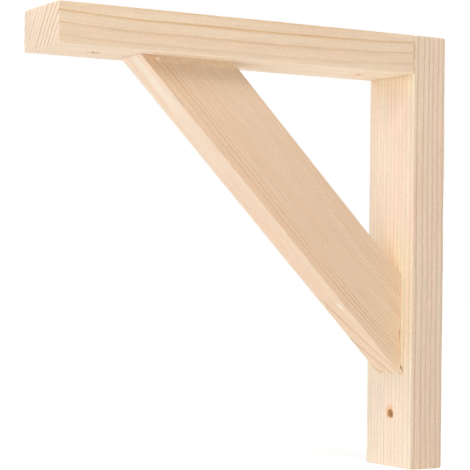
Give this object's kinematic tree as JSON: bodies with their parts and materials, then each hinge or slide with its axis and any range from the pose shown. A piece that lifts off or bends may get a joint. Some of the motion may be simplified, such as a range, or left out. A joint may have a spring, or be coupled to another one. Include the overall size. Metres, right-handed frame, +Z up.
{
  "type": "gallows shelf bracket",
  "caption": "Wooden gallows shelf bracket: an upright wall post, a level shelf arm and a diagonal brace, glued and dowelled, with plain screw holes for wall and shelf.",
  "frame": {"origin": "middle of the wall face, at half the post's height", "axes": "+X out from the wall along the arm, +Y across the bracket, +Z up"},
  "size_m": [0.246, 0.045, 0.25],
  "materials": {
    "post_timber": "planed softwood, bare",
    "arm_timber": "planed softwood, bare",
    "brace_timber": "planed softwood, bare",
    "dowel_wood": "fluted hardwood, bare"
  },
  "bodies": {
    "root": {"wall_post": "post_timber", "shelf_arm": "arm_timber", "diagonal_brace": "brace_timber", "arm_dowel_left": "dowel_wood", "arm_dowel_right": "dowel_wood", "brace_head_dowel": "dowel_wood", "brace_foot_dowel": "dowel_wood"}
  },
  "joints": []
}
